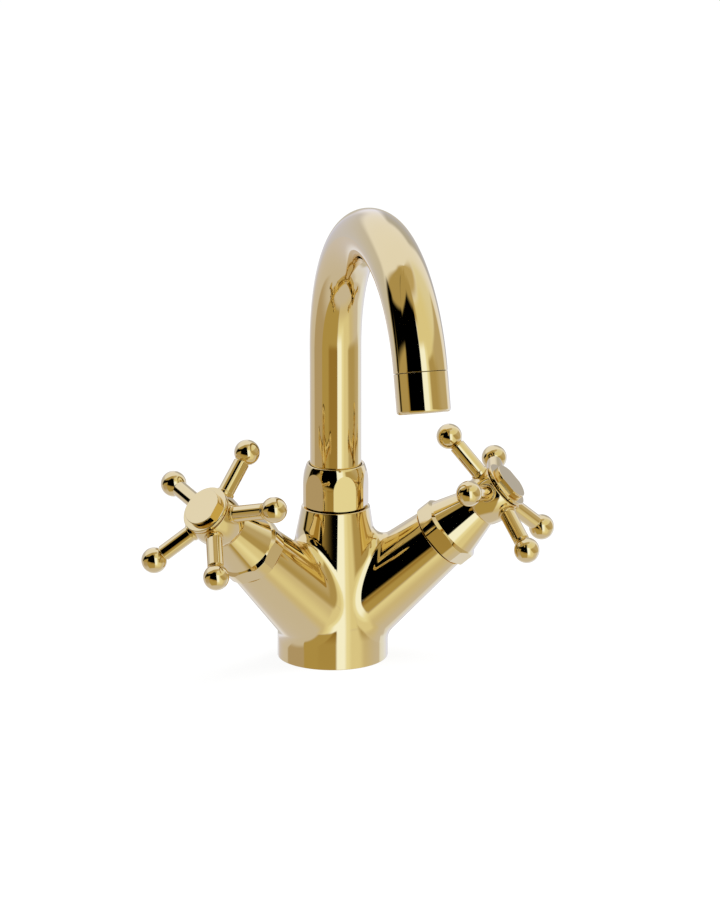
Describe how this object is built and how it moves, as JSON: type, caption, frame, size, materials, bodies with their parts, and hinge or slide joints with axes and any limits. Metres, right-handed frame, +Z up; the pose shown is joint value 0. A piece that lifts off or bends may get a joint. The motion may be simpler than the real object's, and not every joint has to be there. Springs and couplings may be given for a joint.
{
  "type": "basin tap",
  "caption": "Deck-mounted basin mixer with a swivelling swan-neck spout, angled side valves and ball-ended cross handles, in polished gold.",
  "frame": {"origin": "centre of the round foot, on the deck", "axes": "+Z up, the spout reaches towards -Y, the handles stand to -X (hot) and +X (cold)"},
  "size_m": [0.1836, 0.1607, 0.2095],
  "materials": {
    "polished_gold": "polished",
    "raw_brass": "machined",
    "steel": "satin",
    "black_rubber": "matte",
    "valve_ceramic": "lapped",
    "white_plastic": "moulded"
  },
  "bodies": {
    "root": {"mixer_body": "polished_gold", "base_seal": "black_rubber", "spout_nut": "polished_gold", "left_headwork": "raw_brass", "left_fixed_disc": "valve_ceramic", "left_seat_seal": "black_rubber", "left_bonnet": "polished_gold", "right_headwork": "raw_brass", "right_fixed_disc": "valve_ceramic", "right_seat_seal": "black_rubber", "right_bonnet": "polished_gold"},
    "spout": {"spout_tube": "polished_gold", "spout_ferrule": "raw_brass", "spout_seals": "black_rubber", "spout_slip_ring": "white_plastic", "aerator_sleeve": "polished_gold", "aerator_insert": "white_plastic", "aerator_washer": "black_rubber"},
    "left_handle": {"left_handle_hub": "polished_gold", "left_handle_spokes": "polished_gold", "left_handle_cap": "polished_gold", "left_handle_screw": "steel", "left_spindle": "raw_brass", "left_moving_disc": "valve_ceramic", "left_spindle_seals": "black_rubber", "left_circlip": "steel"},
    "right_handle": {"right_handle_hub": "polished_gold", "right_handle_spokes": "polished_gold", "right_handle_cap": "polished_gold", "right_handle_screw": "steel", "right_spindle": "raw_brass", "right_moving_disc": "valve_ceramic", "right_spindle_seals": "black_rubber", "right_circlip": "steel"}
  },
  "joints": [
    {"name": "spout_swivel", "type": "hinge", "parent": "root", "child": "spout", "pos_m": [0, -0.00478, 0.085], "axis": [0, 0, 1], "continuous": true},
    {"name": "left_handle_turn", "type": "hinge", "parent": "root", "child": "left_handle", "pos_m": [-0.06281, -0.03376, 0.07625], "axis": [-0.6624, -0.3681, 0.6525], "range_deg": [0, 90]},
    {"name": "right_handle_turn", "type": "hinge", "parent": "root", "child": "right_handle", "pos_m": [0.06281, -0.03376, 0.07625], "axis": [0.6624, -0.3681, 0.6525], "range_deg": [-90, 0]}
  ]
}
